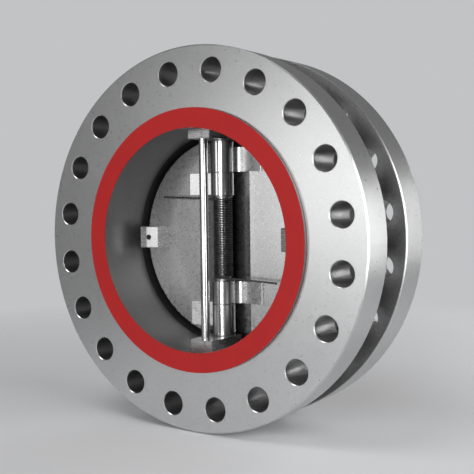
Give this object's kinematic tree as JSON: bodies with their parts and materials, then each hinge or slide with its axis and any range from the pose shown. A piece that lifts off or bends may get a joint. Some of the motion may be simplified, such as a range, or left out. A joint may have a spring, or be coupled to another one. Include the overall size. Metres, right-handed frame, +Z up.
{
  "type": "dual-plate check valve",
  "caption": "Double-flanged dual-plate check valve: two sprung half-disc plates on a vertical hinge pin close a rubber-sealed port, with a stop pin in front and bolt holes in both flanges.",
  "frame": {"origin": "centre of the body, on the flow axis, midway between the two facings", "axes": "+X to the right seen from the outlet, +Y along the pipe from outlet to inlet (flow leaves towards -Y), +Z up along the hinge pin"},
  "size_m": [0.559, 0.1938, 0.559],
  "materials": {
    "body": "fine satin machined and coated cast steel, pale grey",
    "facing": "matte red facing ring",
    "seal": "matte black elastomer",
    "plate": "bead-blasted cast steel, pale grey",
    "bumper": "milled steel",
    "carrier": "milled steel",
    "polished": "polished stainless steel",
    "washer": "ground steel",
    "spring": "dark spring alloy",
    "screw": "blackened steel",
    "copper": "soft copper"
  },
  "bodies": {
    "valve_body": {"body": "body", "outlet_flange": "body", "inlet_flange": "body", "outlet_facing": "facing", "inlet_facing": "facing", "seat_seal": "seal", "pin_carrier_top": "carrier", "pin_carrier_bottom": "carrier", "hinge_pin": "polished", "stop_pin": "polished", "spring_washer_top": "washer", "spring_washer_bottom": "washer", "plate_lug_washer_top": "washer", "plate_lug_washer_bottom": "washer", "body_lug_washer_top": "washer", "body_lug_washer_bottom": "washer", "torsion_spring": "spring", "carrier_screws": "screw", "carrier_screw_washers": "copper"},
    "left_flap": {"plate_left": "plate", "bumper_left": "bumper", "bumper_screw_left": "screw", "hinge_sleeve_left_inner": "polished", "hinge_sleeve_left_outer": "polished"},
    "right_flap": {"plate_right": "plate", "bumper_right": "bumper", "bumper_screw_right": "screw", "hinge_sleeve_right_inner": "polished", "hinge_sleeve_right_outer": "polished"}
  },
  "joints": [
    {"name": "left_plate_hinge", "type": "hinge", "parent": "valve_body", "child": "left_flap", "pos_m": [0, -0.0095, 0], "axis": [0, 0, 1], "range_deg": [0, 80], "stiffness_Nm_per_rad": 2.5, "springref_deg": -85.94, "deforming": ["torsion_spring"]},
    {"name": "right_plate_hinge", "type": "hinge", "parent": "valve_body", "child": "right_flap", "pos_m": [0, -0.0095, 0], "axis": [0, 0, -1], "range_deg": [0, 80], "stiffness_Nm_per_rad": 2.5, "springref_deg": -85.94, "deforming": ["torsion_spring"]}
  ]
}
